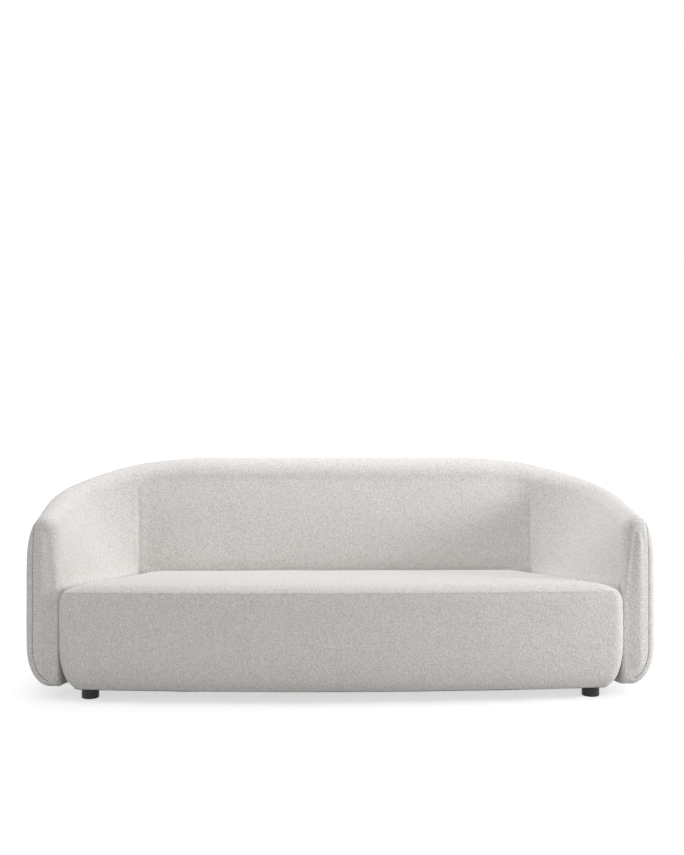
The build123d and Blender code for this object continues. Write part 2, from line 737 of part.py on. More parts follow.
for x, y, turn in ((*front_corner, 40), (*rear_corner, -36)):
    for sign in (-1, 1):
        wedge = Pos(sign * x, y, 0) * (Rot(0, 0, sign * turn) * Box(110, 110, FAR))
        blocks.append(one(block_space & wedge))
pieces["seat_corner_blocks"] = Compound(blocks)


# Zigzag springs from the front rail to the back rail, each held by a clip at both ends.
def spring(x, y0, y1):
    pitch = (y1 - y0) / (SPRING_BARS - 1)
    edges = []
    way = 1
    for bar in range(SPRING_BARS):
        y = y0 + pitch * bar
        start = (x - way * SPRING_HALF_BAR, y, SPRING_Z)
        end = (x + way * SPRING_HALF_BAR, y, SPRING_Z)
        edges.append(Edge.make_line(start, end))
        if bar < SPRING_BARS - 1:
            top = (x + way * (SPRING_HALF_BAR + pitch / 2), y + pitch / 2, SPRING_Z)
            edges.append(Edge.make_three_point_arc(end, top, (end[0], y + pitch, SPRING_Z)))
        way = -way
    path = Wire(edges)
    wire = Plane(origin=path @ 0, z_dir=path % 0) * Circle(SPRING_WIRE / 2)
    return one(sweep(wire, path=path))


def clip(x, y):
    ring = Rot(0, 90, 0) * (Cylinder(SPRING_WIRE / 2 + 1.4, 16) - Cylinder(SPRING_WIRE / 2 + 0.2, 16))
    foot = Pos(0, 0, RAIL_TOP - SPRING_Z + 0.6) * Box(16, 18, 1.2)
    hole = Rot(0, 90, 0) * Cylinder(SPRING_WIRE / 2 + 0.2, 17)
    return one(Pos(x, y, SPRING_Z) * (ring + foot - hole))


springs = []
clips = []
for number in range(SPRING_COUNT):
    x = (number - (SPRING_COUNT - 1) / 2) * 160
    y0 = bow_y(x, SEAT_FOAM_FRONT + RAIL / 2)
    y1 = SEAT_BACK_Y - SEAT_FOAM_BACK - RAIL / 2
    springs.append(spring(x, y0, y1))
    clips += [clip(x, y0), clip(x, y1)]
pieces["seat_springs"] = Compound(springs)
pieces["spring_clips"] = Compound(clips)

# Feet: a round foot on a threaded stud that turns in a tee nut in the foot plate.
feet = {
    "front_left": (-FOOT_X, FOOT_Y),
    "front_right": (FOOT_X, FOOT_Y),
    "rear_left": (-REAR_FOOT_X, REAR_FOOT_Y),
    "rear_right": (REAR_FOOT_X, REAR_FOOT_Y),
}
FOOT_TOP = UNDERSIDE - 0.3
STUD_LOW = FOOT_TOP - STUD_IN_FOOT
foot = Pos(0, 0, FOOT_TOP / 2) * Cylinder(FOOT_DIAMETER / 2, FOOT_TOP)
foot = chamfer(foot.edges().filter_by(GeomType.CIRCLE), 1.5)
foot = foot - Pos(0, 0, STUD_LOW + STUD_IN_FOOT / 2 + 1) * Cylinder(STUD / 2 + THREAD_FIT, STUD_IN_FOOT + 2)
stud = Pos(0, 0, STUD_LOW + STUD_LENGTH / 2) * Cylinder(STUD / 2, STUD_LENGTH)
nut = Pos(0, 0, foot_high - 7) * Cylinder(NUT_BARREL / 2, 14)
nut = nut + Pos(0, 0, foot_high + 0.8) * Cylinder(NUT_FLANGE / 2, 1.6)
nut = one(nut - Pos(0, 0, foot_high) * Cylinder(STUD / 2 + THREAD_FIT, 60))
nut_hole = Pos(0, 0, foot_high - 10) * Cylinder(NUT_BARREL / 2 + THREAD_FIT, 60)
stud_hole = Pos(0, 0, UNDERSIDE) * Cylinder(STUD / 2 + 2, 30)
nuts = []
for name, (x, y) in feet.items():
    pieces[f"foot_{name}"] = Pos(x, y, 0) * foot
    pieces[f"foot_stud_{name}"] = Pos(x, y, 0) * stud
    nuts.append(Pos(x, y, 0) * nut)
pieces["tee_nuts"] = Compound(nuts)
front_plates = []
rear_plates = []
plate_outline = Face(seat_outline(SEAT_FOAM_FRONT, SEAT_FOAM_SIDE, SEAT_FOAM_BACK, 41.5, 29.5))
front_space = upright(plate_outline, FRAME_BOTTOM, foot_high)
for sign in (-1, 1):
    plate = one(front_space & front_plate_box(sign))
    front_plates.append(one(plate - Pos(sign * FOOT_X, FOOT_Y, 0) * nut_hole))
    plate = one(plate_space & rear_plate_box(sign))
    rear_plates.append(one(plate - Pos(sign * REAR_FOOT_X, REAR_FOOT_Y, 0) * nut_hole))

# Joining plates under the gap hold the seat block to the shell, with a screw into each.
screw_places = []
joining_plates = []
plate_low = UNDERSIDE - PLATE
screw_hole = Pos(0, 0, UNDERSIDE) * Cylinder(SCREW / 2 + THREAD_FIT, 80)


def joining_plate(first, second, along_x):
    reach = 16
    half = PLATE_WIDTH / 2
    low = (min(first[0], second[0]), min(first[1], second[1]))
    high = (max(first[0], second[0]), max(first[1], second[1]))
    dx, dy = (reach, half) if along_x else (half, reach)
    plate = slab(low[0] - dx, high[0] + dx, low[1] - dy, high[1] + dy, plate_low, UNDERSIDE)
    for place in (first, second):
        screw_places.append(place)
        plate = plate - Pos(*place, 0) * screw_hole
    return plate


arm_plate_y = -180
side_rail_x = arm_inner_x(arm_plate_y) - (SEAT_GAP + SEAT_FOAM_SIDE + RAIL / 2) / math.cos(ARM_ANGLE)
arm_rail_x = arm_inner_x(arm_plate_y) + FOAM_INSIDE_ARM + FRAME_FIT + RAIL / 2 + 2.5
back_rail_y = SEAT_BACK_Y - SEAT_FOAM_BACK - RAIL / 2
shell_rail_y = BACK_Y - inner_u(RIGHT[0], FRAME_FIT) + 0.5 + RAIL / 2
for sign in (-1, 1):
    first = (sign * side_rail_x, arm_plate_y)
    joining_plates.append(joining_plate(first, (sign * arm_rail_x, arm_plate_y), True))
    first = (sign * 300, back_rail_y)
    joining_plates.append(joining_plate(first, (sign * 300, shell_rail_y), False))
pieces["joining_plates"] = Compound(joining_plates)
screw = Pos(0, 0, plate_low + SCREW_LENGTH / 2) * Cylinder(SCREW / 2, SCREW_LENGTH)
screw = one(screw + Pos(0, 0, plate_low - 1.5) * Cylinder(SCREW, 3))
pieces["joining_screws"] = Compound([Pos(*place, 0) * screw for place in screw_places])
screw_holes = [Pos(*place, 0) * screw_hole for place in screw_places]

pieces["seat_front_rail"] = one(seat_front_rail)
pieces["seat_back_rail"] = one(cut(seat_back_rail, screw_holes))
pieces["seat_side_rail_left"] = one(cut(left_side, screw_holes))
pieces["seat_side_rail_right"] = one(cut(right_side, screw_holes))
for name, rail in cross_rails.items():
    pieces[f"seat_cross_rail_{name}"] = rail
pieces["foot_plates"] = Compound(front_plates + rear_plates)
pieces["back_bottom_rail"] = one(cut(back_bottom_rail, screw_holes))
arm_bottom_rail = one(cut(arm_bottom_rail, screw_holes))
pieces["arm_bottom_rail_right"] = arm_bottom_rail
pieces["arm_bottom_rail_left"] = flip(arm_bottom_rail)

# Dust covers close the undersides of the seat and the shell.
DUST_LOW = UNDERSIDE + 0.3
DUST_HIGH = DUST_LOW + DUST_COVER
dust_front, dust_side, dust_back = SEAT_SIDES[0][1:]
dust_draw = COVER + 1
dust_outline = seat_outline(
    dust_front + dust_draw,
    dust_side + dust_draw,
    dust_back + dust_draw,
    max(SEAT_FRONT_CORNER - 0.6 * dust_front, LEAST_CORNER) - dust_draw,
    max(SEAT_BACK_CORNER - 0.5 * dust_back, LEAST_CORNER) - dust_draw,
)
seat_dust = upright(Face(dust_outline), DUST_LOW, DUST_HIGH)
shell_dust = board(FRAME_ALL, lambda s: oblong(s.bottom + 1, s.thick - COVER - 8, DUST_LOW, DUST_HIGH))
under_holes = screw_holes + [Pos(x, y, 0) * stud_hole for x, y in feet.values()]
pieces["seat_dust_cover"] = one(cut(seat_dust, under_holes))
pieces["shell_dust_cover"] = one(cut(shell_dust, under_holes))

for name, shape in pieces.items():
    export_step(shape, f"parts/{name}.step")
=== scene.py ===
import bmesh
import bpy
from math import acos, atan, atan2, cos, exp, hypot, pi, radians, sin, sqrt, tan
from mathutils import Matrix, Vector, kdtree, noise
from mathutils.bvhtree import BVHTree


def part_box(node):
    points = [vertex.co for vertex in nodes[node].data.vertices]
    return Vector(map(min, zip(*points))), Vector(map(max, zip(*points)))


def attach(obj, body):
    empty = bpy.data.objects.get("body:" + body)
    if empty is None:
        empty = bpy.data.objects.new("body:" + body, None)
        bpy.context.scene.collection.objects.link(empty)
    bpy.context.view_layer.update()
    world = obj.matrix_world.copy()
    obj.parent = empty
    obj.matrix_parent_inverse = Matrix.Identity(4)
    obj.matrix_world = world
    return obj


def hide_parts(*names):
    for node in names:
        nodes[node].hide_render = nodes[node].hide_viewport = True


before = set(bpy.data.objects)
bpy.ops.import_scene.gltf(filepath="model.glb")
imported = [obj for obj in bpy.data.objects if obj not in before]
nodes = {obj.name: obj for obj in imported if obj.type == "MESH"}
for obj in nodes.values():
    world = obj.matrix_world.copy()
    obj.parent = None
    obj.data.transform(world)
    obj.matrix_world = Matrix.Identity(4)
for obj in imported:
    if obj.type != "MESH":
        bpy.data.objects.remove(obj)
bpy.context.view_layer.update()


# Timber frame of the seat and the shell.
# Planed beech rails and blocks carry ribs and liners cut from birch plywood,
# glued and stapled together; the covers hide all of it.

def colour(code):
    """Linear colour with alpha from an sRGB hex code."""
    parts = [int(code[k:k + 2], 16) / 255 for k in (1, 3, 5)]
    return [c / 12.92 if c <= 0.04045 else ((c + 0.055) / 1.055) ** 2.4 for c in parts] + [1.0]


def add(material, kind, settings=(), values=(), links=(), stops=()):
    """Adds one node: its own settings, values of free inputs, links in, and a ramp's stops."""
    made = material.node_tree.nodes.new(kind)
    for name, value in dict(settings).items():
        setattr(made, name, value)
    for name, value in dict(values).items():
        made.inputs[name].default_value = value
    for name, (source, output) in dict(links).items():
        material.node_tree.links.new(source.outputs[output], made.inputs[name])
    for k, (place, code) in enumerate(stops):
        stop = made.color_ramp.elements[k] if k < 2 else made.color_ramp.elements.new(place)
        stop.position, stop.color = place, colour(code)
    return made


def material_named(name):
    """A node material with no nodes in it yet."""
    made = bpy.data.materials.new(name)
    made.use_nodes = True
    made.node_tree.nodes.clear()
    return made


def wood(name, pale, dark, grain_mm, stretch):
    """Unfinished planed timber: long grain lines, matt, faintly ridged."""
    made = material_named(name)
    place = add(made, "ShaderNodeTexCoord")
    along = add(made, "ShaderNodeMapping", values={"Scale": stretch},
                links={"Vector": (place, "Object")})
    grain = add(made, "ShaderNodeTexNoise",
                values={"Scale": 1000 / grain_mm, "Detail": 5.0, "Roughness": 0.6,
                        "Distortion": 0.6},
                links={"Vector": (along, "Vector")})
    tone = add(made, "ShaderNodeValToRGB", links={"Fac": (grain, "Fac")},
               stops=[(0.32, dark), (0.66, pale)])
    ridge = add(made, "ShaderNodeBump", values={"Strength": 0.15, "Distance": 0.0005},
                links={"Height": (grain, "Fac")})
    surface = add(made, "ShaderNodeBsdfPrincipled", values={"Roughness": 0.62, "IOR": 1.5},
                  links={"Base Color": (tone, "Color"), "Normal": (ridge, "Normal")})
    add(made, "ShaderNodeOutputMaterial", links={"Surface": (surface, "BSDF")})
    return made


# Beech is pinkish brown, its grain drawn along the sofa's width; birch ply is paler, upright.
beech = wood("planed_beech", "#C9A27A", "#AD8259", 9.0, (0.12, 1.0, 1.0))
birch_plywood = wood("birch_plywood", "#D8BD94", "#BC9A6C", 7.0, (1.0, 1.0, 0.10))


def finish(names, material):
    """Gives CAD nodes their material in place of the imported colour."""
    for name in names:
        nodes[name].data.materials.clear()
        nodes[name].data.materials.append(material)


finish([name for name in nodes if "_rib_" in name or name.startswith("arm_liner")], birch_plywood)
finish(["foot_plates"], birch_plywood)
finish([name for name in nodes if "_rail" in name], beech)
finish(["seat_corner_blocks"], beech)


# Springs, clips and fixings.
# Zigzag seat springs of oiled drawn wire hook into pressed clips; plates, screws,
# tee nuts and studs are zinc plated steel from the shelf.

def steel(name, pale, dark, roughness, cloud_mm):
    """Drawn or plated steel: metallic, cloudy in tone and sheen."""
    made = material_named(name)
    place = add(made, "ShaderNodeTexCoord")
    cloud = add(made, "ShaderNodeTexNoise",
                values={"Scale": 1000 / cloud_mm, "Detail": 4.0, "Roughness": 0.55},
                links={"Vector": (place, "Object")})
    tone = add(made, "ShaderNodeValToRGB", links={"Fac": (cloud, "Fac")},
               stops=[(0.3, dark), (0.7, pale)])
    dull = add(made, "ShaderNodeMapRange",
               values={"To Min": roughness - 0.08, "To Max": roughness + 0.10},
               links={"Value": (cloud, "Fac")})
    surface = add(made, "ShaderNodeBsdfPrincipled", values={"Metallic": 1.0},
                  links={"Base Color": (tone, "Color"), "Roughness": (dull, "Result")})
    add(made, "ShaderNodeOutputMaterial", links={"Surface": (surface, "BSDF")})
    return made


# Oil leaves the spring wire dark grey; zinc plate is pale and a little cloudy.
spring_wire = steel("oiled_spring_wire", "#8E8F92", "#5C5D60", 0.36, 6.0)
zinc_plate = steel("zinc_plated_steel", "#D3D5D8", "#B3B6BB", 0.34, 4.0)
finish(["seat_springs", "spring_clips"], spring_wire)
finish(["joining_plates", "joining_screws", "tee_nuts"], zinc_plate)
finish([name for name in nodes if name.startswith("foot_stud")], zinc_plate)


# Webbing straps across the back frame.
# Woven elastic straps, stapled under tension to the back rails; ribbed across.

# Woven polyester over rubber: brown-black, dull, with weft ribs every 2.5 mm.
# The wave node repeats every 2 pi / 20 of its scaled length.
WEFT_RIB_MM = 2.5
strap = material_named("woven_elastic_webbing")
strap_place = add(strap, "ShaderNodeTexCoord")
strap_rib = add(strap, "ShaderNodeTexWave", {"bands_direction": "Z"},
                {"Scale": 1000 * 2 * pi / (20 * WEFT_RIB_MM), "Distortion": 0.6, "Detail": 2.0},
                {"Vector": (strap_place, "Object")})
strap_tone = add(strap, "ShaderNodeValToRGB", links={"Fac": (strap_rib, "Fac")},
                 stops=[(0.2, "#34302C"), (0.8, "#5A544D")])
strap_ridge = add(strap, "ShaderNodeBump", values={"Strength": 0.4, "Distance": 0.0006},
                  links={"Height": (strap_rib, "Fac")})
strap_surface = add(strap, "ShaderNodeBsdfPrincipled",
                    values={"Roughness": 0.85, "Sheen Weight": 0.15},
                    links={"Base Color": (strap_tone, "Color"), "Normal": (strap_ridge, "Normal")})
add(strap, "ShaderNodeOutputMaterial", links={"Surface": (strap_surface, "BSDF")})
finish(["back_webbing"], strap)


# Shell upholstery: the wrap-round back and arms.
# Bouclé panels pulled over foam, sewn along the outer top edge and down the arm
# fronts, with a tucked crease where the inside back meets each inside arm.

HALF_WIDTH = 1.106
BACK_LINE = 0.480
BACK_HEIGHT, ARM_HEIGHT = 0.785, 0.626
# The crest starts to slope this far before the corner, and slopes over this run.
SLOPE_LEAD, SLOPE_RUN = 0.112, 1.055
UNDERSIDE = 0.042
# The corner's outer radius, and the radius at which the run round it is measured.
CORNER_RADIUS, RUN_RADIUS = 0.480, 0.395
CORNER_X = HALF_WIDTH - CORNER_RADIUS
CORNER_RUN = RUN_RADIUS * pi / 2
# The outside arms bow slightly, at this radius.
SIDE_BOW = 2.340
INSIDE_BACK = 0.200
CREASE_X, CREASE_RADIUS = 0.767, 0.050
CREASE_START, CREASE_STOP = radians(13), radians(32)
ARM_FRONT, ARM_FRONT_INNER = -0.345, 0.9544
ARM_SPREAD = (ARM_FRONT_INNER - CREASE_X) / (INSIDE_BACK - ARM_FRONT)
# The inside face is upright up to this height and leans back above it.
LEAN_FOOT = 0.350
# The rounded arm front: how far in from the side, how far forward, the inner side's share.
NOSE_DEEP, NOSE_REACH, NOSE_INNER = 0.036, 0.046, 0.4
# The inner lower edge is cut off by this much.
UNDER_EDGE = 0.010


def mix(first, second, share):
    """A share of the way from the first value to the second."""
    return first + (second - first) * share


def ease(value):
    """Smooth step from 0 to 1."""
    value = min(max(value, 0.0), 1.0)
    return value * value * (3 - 2 * value)


def arm_inner(y):
    """Half the width between the inside arms at a depth."""
    return CREASE_X + (INSIDE_BACK - y) * ARM_SPREAD


class Wall:
    """The shell's section at a distance along it from the corner's start."""

    def __init__(self, run):
        share = ease((run + SLOPE_LEAD) / SLOPE_RUN)
        self.height = mix(BACK_HEIGHT, ARM_HEIGHT, share)
        self.crest = mix(0.100, 0.066, share)
        self.outer_top = mix(0.070, 0.046, share)
        self.inner_top = mix(0.090, 0.048, share)
        self.shoulder = mix(0.170, 0.150, share)
        self.bottom = mix(0.120, 0.085, share)
        self.bottom_rise = mix(0.120, 0.140, share)
        self.spring = self.height - self.shoulder
        over = self.crest - self.outer_top
        rounding = self.crest ** 2 + self.shoulder ** 2 - 2 * self.shoulder * self.outer_top
        self.round = rounding / (2 * over)
        self.meet = atan2(self.shoulder - self.outer_top, self.crest - self.round)

    def outline(self, inset, thick):
        """Points (across, up) round the section, from the inner lower edge outwards."""
        floor = UNDERSIDE + inset
        bend = self.height - self.inner_top
        reach = hypot(LEAN_FOOT - bend, thick - self.crest)
        lean = atan2(LEAN_FOOT - bend, thick - self.crest) + acos(self.inner_top / reach)
        inside = thick - NOSE_INNER * inset
        points = [(mix(inside - UNDER_EDGE, self.bottom, k / 8), floor) for k in range(8)]

        def arc(across, up, radius, first, last, steps):
            for k in range(steps):
                turn = mix(first, last, k / steps)
                points.append((across + radius * cos(turn), up + radius * sin(turn)))

        for k in range(18):
            turn = mix(1.5 * pi, pi, k / 18)
            points.append((self.bottom + (self.bottom - inset) * cos(turn),
                           UNDERSIDE + self.bottom_rise + (self.bottom_rise - inset) * sin(turn)))
        for k in range(26):
            points.append((inset, mix(UNDERSIDE + self.bottom_rise, self.spring, k / 26)))
        arc(self.round, self.spring, self.round - inset, pi, self.meet, 16)
        arc(self.crest, self.height - self.outer_top, self.outer_top - inset, self.meet, pi / 2, 14)
        arc(self.crest, bend, self.inner_top - inset, pi / 2, lean, 16)
        top = (self.crest + (self.inner_top - inset) * cos(lean),
               bend + (self.inner_top - inset) * sin(lean))
        foot = (inside, LEAN_FOOT - inset * tan(lean / 2))
        for k in range(40):
            points.append((mix(top[0], foot[0], k / 40), mix(top[1], foot[1], k / 40)))
        for k in range(24):
            points.append((inside, mix(foot[1], floor + UNDER_EDGE, k / 23)))
        return points


def crease_path(turn):
    """Inner plan point at a corner turn: back line, tight fillet, arm line."""
    slope = atan(ARM_SPREAD)
    swing = pi / 2 - slope
    tangent = CREASE_RADIUS * tan(swing / 2)
    if turn <= CREASE_START:
        return (mix(CORNER_X, CREASE_X - tangent, turn / CREASE_START), INSIDE_BACK)
    if turn <= CREASE_STOP:
        bend = swing * (turn - CREASE_START) / (CREASE_STOP - CREASE_START)
        return (CREASE_X - tangent + CREASE_RADIUS * sin(bend),
                INSIDE_BACK - CREASE_RADIUS * (1 - cos(bend)))
    y_first = INSIDE_BACK - tangent * cos(slope)
    y = mix(y_first, 0.0, (turn - CREASE_STOP) / (pi / 2 - CREASE_STOP))
    return (arm_inner(y), y)


def corner_outer(turn):
    """Outer plan point at a corner turn."""
    return (CORNER_X + CORNER_RADIUS * sin(turn), CORNER_RADIUS * cos(turn))


def nose_station(turn):
    """Station on the rounded arm front, from the arm's side at 0 to its face at a right angle."""
    outer = (HALF_WIDTH - SIDE_BOW + sqrt(SIDE_BOW ** 2 - ARM_FRONT ** 2), ARM_FRONT)
    inner = (arm_inner(ARM_FRONT), ARM_FRONT)
    return (outer, inner, CORNER_RUN - ARM_FRONT,
            NOSE_DEEP * (1 - cos(turn)), NOSE_REACH * sin(turn))


def right_stations():
    """(outer plan point, inner plan point, run, inset, reach forward) from the middle outwards."""
    made = []
    for k in range(64):
        x = CORNER_X * k / 64
        made.append(((x, BACK_LINE), (x, INSIDE_BACK), x - CORNER_X, 0.0, 0.0))
    for k in range(88):
        turn = pi / 2 * k / 88
        made.append((corner_outer(turn), crease_path(turn), RUN_RADIUS * turn, 0.0, 0.0))
    for k in range(36):
        y = ARM_FRONT * k / 36
        outer = (HALF_WIDTH - SIDE_BOW + sqrt(SIDE_BOW ** 2 - y * y), y)
        made.append((outer, (arm_inner(y), y), CORNER_RUN - y, 0.0, 0.0))
    return made + [nose_station(pi / 2 * k / 16) for k in range(17)]


def through_wall(outer, inner):
    """Thickness between two plan points, and the direction from the outer to the inner."""
    thick = hypot(inner[0] - outer[0], inner[1] - outer[1])
    return thick, ((inner[0] - outer[0]) / thick, (inner[1] - outer[1]) / thick)


def station_points(station, sign):
    """The wall's section at a station, on the right (1) or the left (-1)."""
    outer, inner, run, inset, reach = station
    thick, across = through_wall(outer, inner)
    return [Vector((sign * (outer[0] + across[0] * u), outer[1] + across[1] * u - reach, z))
            for u, z in Wall(run).outline(inset, thick)]


SEAM_INSET, SEAM_END = 0.028, 1.46 * pi


def seam_point(station):
    """Where the outer seam crosses a station, a fixed way in from the outer face."""
    outer, inner, run, inset, reach = station
    across = through_wall(outer, inner)[1]
    wall = Wall(run)
    if SEAM_INSET < wall.round + (wall.round - inset) * cos(wall.meet):
        level, radius, middle = wall.spring, wall.round, wall.round
    else:
        level, radius, middle = wall.height - wall.outer_top, wall.outer_top, wall.crest
    up = level + sqrt(max((radius - inset) ** 2 - (middle - SEAM_INSET) ** 2, 0.0))
    return Vector((outer[0] + across[0] * SEAM_INSET,
                   outer[1] + across[1] * SEAM_INSET - reach, up))


# The seam runs along the outer top edge, over the arm front and down it, and ends
# where the cover turns under.
stations = right_stations()
side_stations = [s for s in stations if s[3] == 0.0]
seam_right = [seam_point(s) for s in side_stations]
turn_down = acos(1 - SEAM_INSET / NOSE_DEEP)
for k in range(1, 61):
    seam_right.append(seam_point(nose_station(turn_down * (1 - (1 - k / 60) ** 2))))
drop = seam_right[-1]
nose_outer, nose_inner, nose_run = stations[-1][:3]
low_wall = Wall(nose_run)
low_spring = UNDERSIDE + low_wall.bottom_rise
for k in range(1, 50):
    seam_right.append(Vector((drop.x, drop.y, mix(drop.z, low_spring, k / 49))))
front_across = through_wall(nose_outer, nose_inner)[1][0]
for k in range(1, 41):
    turn = mix(pi, SEAM_END, k / 40)
    in_from_side = low_wall.bottom + (low_wall.bottom - SEAM_INSET) * cos(turn)
    up = low_spring + (low_wall.bottom_rise - SEAM_INSET) * sin(turn)
    seam_right.append(Vector((nose_outer[0] + front_across * in_from_side, drop.y, up)))
seam_left = [Vector((-p.x, p.y, p.z)) for p in seam_right]
seam_line = seam_left[::-1] + seam_right[1:]

seam_tree = kdtree.KDTree(len(seam_line))
for k, point in enumerate(seam_line):
    seam_tree.insert(point, k)
seam_tree.balance()

# The crease is tucked tight from the seat up and fades out below the crest.
PAST_CREST, CREASE_HIGH = 80, 0.74
crease_turn = (CREASE_START + CREASE_STOP) / 2
crease_station = (corner_outer(crease_turn), crease_path(crease_turn),
                  RUN_RADIUS * crease_turn, 0.0, 0.0)
crease_line = [p for p in station_points(crease_station, 1)[PAST_CREST:] if p.z < CREASE_HIGH]


def nearest_crease(point):
    """Distance from a point to the crease on its own side."""
    mirrored = Vector((abs(point.x), point.y, point.z))
    return min((mirrored - p).length for p in crease_line)


def join_rings(mesh, rings):
    """Faces between closed rings of as many points each."""
    for first, second in zip(rings, rings[1:]):
        count = len(first)
        for k in range(count):
            mesh.faces.new((first[k], first[(k + 1) % count], second[(k + 1) % count], second[k]))


def close_seams(mesh, reach):
    """Welds points that fall together and turns all faces outwards."""
    bmesh.ops.remove_doubles(mesh, verts=mesh.verts, dist=reach)
    bmesh.ops.recalc_face_normals(mesh, faces=mesh.faces)
    mesh.normal_update()


shell_mesh = bmesh.new()
ring_list = [station_points(s, -1) for s in stations[:0:-1]]
ring_list += [station_points(s, 1) for s in stations]
rings = [[shell_mesh.verts.new(p) for p in ring] for ring in ring_list]
join_rings(shell_mesh, rings)
# The arm fronts close over a crowned face, fullest towards the seam.
ARM_CROWN, CROWN_PLACE, CROWN_END = 0.0065, 0.66, 0.05
for ring in (rings[0], rings[-1]):
    inner_x, outer_x = sorted((min(v.co.x for v in ring), max(v.co.x for v in ring)), key=abs)
    middle = mix(inner_x, outer_x, CROWN_PLACE)
    low, high = min(v.co.z for v in ring) + CROWN_END, max(v.co.z for v in ring) - CROWN_END
    cap = [ring]
    for k in range(1, 11):
        share = k / 10
        inward = []
        for v in ring:
            target = Vector((middle, v.co.y, min(max(v.co.z, low), high)))
            spot = v.co.lerp(target, share)
            spot.y -= ARM_CROWN * ease(share)
            inward.append(shell_mesh.verts.new(spot))
        cap.append(inward)
    join_rings(shell_mesh, cap)
close_seams(shell_mesh, 0.0003)

# How far the cover sinks in: a small unevenness, the seam, the crease and its puckers.
SKIN, UNEVEN, SHELL_WAVES = 0.0012, 0.0012, 9.0
SEAM_DIP, SEAM_WIDE = 0.0040, 0.008
CREASE_DIP, CREASE_WIDE, CREASE_TOP, CREASE_FADE = 0.007, 0.009, 0.69, 0.10
CREASE_FROM, CREASE_TO, CREASE_AHEAD, CREASE_LOW = 0.60, 0.95, INSIDE_BACK - 0.22, 0.25
PUCKER_DIP, PUCKER_WIDE, PUCKER_PITCH, PUCKER_SLANT = 0.0022, 0.045, 0.042, 14
# The inside back is plump between the creases and tucks in behind the seat.
BACK_TUCK, BACK_PLUMP_TOP = 0.350, 0.700
PLUMP, PLUMP_FADE, TUCK, TUCK_RISE = 0.011, 0.14, 0.012, 0.050
# The inside arms press out over the rounded ends of the seat, which slopes back.
PRESS, PRESS_WIDE, PRESS_HEIGHT, PRESS_SLOPE, PRESS_FRONT = 0.008, 0.028, 0.380, 0.070, -0.36

moves = []
for vert in shell_mesh.verts:
    point, normal, beside = vert.co, vert.normal, abs(vert.co.x)
    sink = SKIN + UNEVEN * noise.noise(point * SHELL_WAVES)
    away = seam_tree.find(point)[2]
    sink += SEAM_DIP * exp(-(away / SEAM_WIDE) ** 2)
    if point.y > CREASE_AHEAD and CREASE_FROM < beside < CREASE_TO and point.z > CREASE_LOW:
        near = nearest_crease(point)
        tight = ease((CREASE_TOP - point.z) / CREASE_FADE)
        sink += CREASE_DIP * tight * exp(-(near / CREASE_WIDE) ** 2)
        if beside < CREASE_X:
            ripple = 0.5 + 0.5 * sin(point.z * 2 * pi / PUCKER_PITCH + PUCKER_SLANT * near)
            sink += PUCKER_DIP * tight * ripple * exp(-(near / PUCKER_WIDE) ** 2)
    faces_front = normal.y < -0.5
    if faces_front and beside < CREASE_X and point.z > BACK_TUCK:
        full = ease((CREASE_X - beside) / PLUMP_FADE)
        rise = min((point.z - BACK_TUCK) / (BACK_PLUMP_TOP - BACK_TUCK), 1.0)
        sink -= PLUMP * full * sin(pi * rise)
        sink += TUCK * full * ease((BACK_TUCK + TUCK_RISE - point.z) / TUCK_RISE)
    faces_in = abs(normal.x) > 0.6 and normal.x * point.x < 0
    if faces_in and beside > CREASE_X and point.y > PRESS_FRONT:
        press = PRESS_HEIGHT - PRESS_SLOPE * (point.y + BACK_LINE)
        sink -= PRESS * exp(-((point.z - press) / PRESS_WIDE) ** 2)
    moves.append(normal * sink)
for vert, move in zip(shell_mesh.verts, moves):
    vert.co -= move


def piece_from(mesh, name, material):
    """Smooth-shaded object from a finished bmesh."""
    data = bpy.data.meshes.new(name)
    mesh.to_mesh(data)
    mesh.free()
    data.polygons.foreach_set("use_smooth", [True] * len(data.polygons))
    made = bpy.data.objects.new(name, data)
    bpy.context.scene.collection.objects.link(made)
    data.materials.append(material)
    return made


# Off-white wool-blend bouclé: curled loops about 6 mm across with fine fibres between,
# matt and soft-edged; its tone follows the loops' height, paler on the loops and greyer down between them
# as painted shade.
LOOP_MM, FIBRE_MM, DRIFT_MM, DRIFT_BY = 6.0, 3.2, 14.0, 0.010
boucle = material_named("off_white_boucle")
boucle_place = add(boucle, "ShaderNodeTexCoord")
boucle_drift = add(boucle, "ShaderNodeTexNoise", values={"Scale": 1000 / DRIFT_MM, "Detail": 2.0},
                   links={"Vector": (boucle_place, "Object")})
boucle_shift = add(boucle, "ShaderNodeVectorMath", {"operation": "MULTIPLY_ADD"},
                   {1: (DRIFT_BY, DRIFT_BY, DRIFT_BY)},
                   {0: (boucle_drift, "Color"), 2: (boucle_place, "Object")})
boucle_loop = add(boucle, "ShaderNodeTexVoronoi", {"feature": "SMOOTH_F1"},
                  {"Scale": 1000 / LOOP_MM, "Randomness": 1.0, "Smoothness": 0.2},
                  {"Vector": (boucle_shift, "Vector")})
boucle_fibre = add(boucle, "ShaderNodeTexNoise",
                   values={"Scale": 1000 / FIBRE_MM, "Detail": 3.0, "Roughness": 0.65},
                   links={"Vector": (boucle_place, "Object")})
boucle_curl = add(boucle, "ShaderNodeMath", {"operation": "MULTIPLY_ADD"},
                  {1: -0.8, 2: 0.75}, {0: (boucle_loop, "Distance")})
boucle_height = add(boucle, "ShaderNodeMath", {"operation": "MULTIPLY_ADD"},
                    {1: 0.5}, {0: (boucle_fibre, "Fac"), 2: (boucle_curl, "Value")})
# Tone from the height: the grey down between the loops is painted shade in the hollows, with the fibres'
# random tone on top.
boucle_tone_with_painted_shade = add(boucle, "ShaderNodeValToRGB", links={"Fac": (boucle_height, "Value")},
                  stops=[(0.30, "#D6D2CE"), (0.62, "#E2DFDC"), (0.90, "#F6F4F2")])
boucle_relief = add(boucle, "ShaderNodeBump", values={"Strength": 0.50, "Distance": 0.0025},
                    links={"Height": (boucle_height, "Value")})
